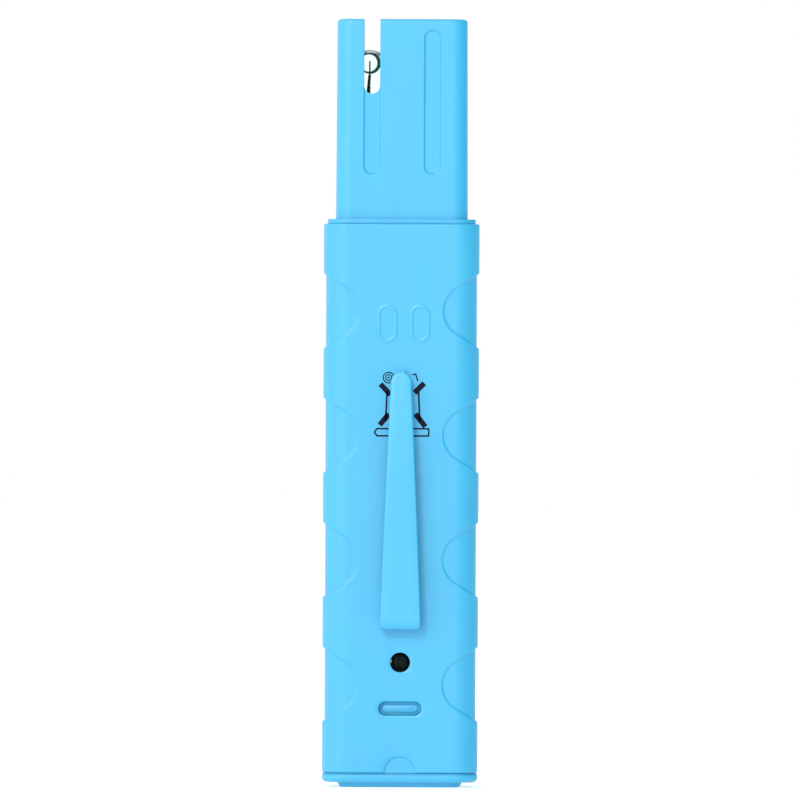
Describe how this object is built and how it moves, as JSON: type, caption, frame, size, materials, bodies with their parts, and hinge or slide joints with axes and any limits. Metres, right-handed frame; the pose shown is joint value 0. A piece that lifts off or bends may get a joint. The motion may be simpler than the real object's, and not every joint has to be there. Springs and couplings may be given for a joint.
{
  "type": "pen type ph meter",
  "caption": "Pocket pH tester standing on its battery cap: slotted guard over a glass bulb electrode, gripped housing, spring pocket clip and trimmer hole.",
  "frame": {"origin": "centre of the flat face of the foot on the battery cap, which the pen stands on", "axes": "+Z along the pen towards the electrode, -Y out of the back with the pocket clip, +Y out of the front with the display, +X to the right seen from the back"},
  "size_m": [0.0304, 0.0211, 0.15],
  "materials": {
    "housing_abs": "satin moulded, fine spark texture",
    "clip_abs": "satin moulded",
    "cap_abs": "satin moulded",
    "label_film": "satin film",
    "clear_acrylic": "polished",
    "lcd_cell": "polished",
    "white_plastic": "moulded",
    "carbon_silicone": "striped",
    "board_green": "solder mask",
    "chip_epoxy": "moulded",
    "switch_black": "moulded",
    "trimmer_teal": "moulded",
    "rotor_plastic": "moulded",
    "gilt_spring": "plated",
    "zinc_steel": "zinc plated",
    "seal_rubber": "matte",
    "potting_epoxy": "cured",
    "bulb_glass": "fire polished",
    "clear_liquid": "clear",
    "silver_metal": "drawn, part chlorided",
    "porous_ceramic": "porous",
    "lead_pvc": "extruded",
    "button_rubber": "matte",
    "nickel_steel": "nickel plated",
    "cell_steel": "nickel plated"
  },
  "bodies": {
    "cap": {"battery_cap": "cap_abs", "cap_seal": "seal_rubber", "battery_tray": "white_plastic", "tray_contacts": "nickel_steel", "cell_1": "cell_steel", "cell_2": "cell_steel", "cell_3": "cell_steel", "cell_4": "cell_steel"},
    "housing": {"rear_shell": "housing_abs", "front_shell": "housing_abs", "front_label": "label_film", "display_window": "clear_acrylic", "lcd_glass": "lcd_cell", "lcd_frame": "white_plastic", "zebra_strips": "carbon_silicone", "circuit_board": "board_green", "controller_chip": "chip_epoxy", "tact_switch": "switch_black", "trimmer_body": "trimmer_teal", "battery_contacts": "gilt_spring", "board_screws": "zinc_steel", "probe_guard": "housing_abs", "probe_seal": "seal_rubber", "electrode_barrel": "white_plastic", "barrel_potting": "potting_epoxy", "glass_bulb": "bulb_glass", "bulb_solution": "clear_liquid", "silver_wire": "silver_metal", "reference_tube": "white_plastic", "porous_junction": "porous_ceramic", "reference_wire": "silver_metal", "electrode_leads": "lead_pvc", "clip_base": "clip_abs"},
    "clip": {"clip_arm": "clip_abs"},
    "trimmer": {"trimmer_rotor": "rotor_plastic"},
    "button": {"power_button": "button_rubber"},
    "latch": {"latch_tongue": "cap_abs"}
  },
  "joints": [
    {"name": "cap_pull", "type": "slide", "parent": "cap", "child": "housing", "axis": [0, 0, 1], "range_m": [0, 0.02]},
    {"name": "clip_flex", "type": "hinge", "parent": "housing", "child": "clip", "pos_m": [0, -0.0121, 0.039], "axis": [1, 0, 0], "range_deg": [0, 6], "stiffness_Nm_per_rad": 1.6},
    {"name": "trimmer_turn", "type": "hinge", "parent": "housing", "child": "trimmer", "pos_m": [0, -0.003, 0.0244], "axis": [0, -1, 0], "range_deg": [-135, 135]},
    {"name": "button_press", "type": "slide", "parent": "housing", "child": "button", "axis": [0, -1, 0], "range_m": [0, 0.0006], "stiffness_N_per_m": 1500, "springref_m": -0.0004},
    {"name": "latch_press", "type": "hinge", "parent": "cap", "child": "latch", "pos_m": [0, -0.00625, 0.00425], "axis": [-1, 0, 0], "range_deg": [0, 2.5], "stiffness_Nm_per_rad": 0.25}
  ]
}
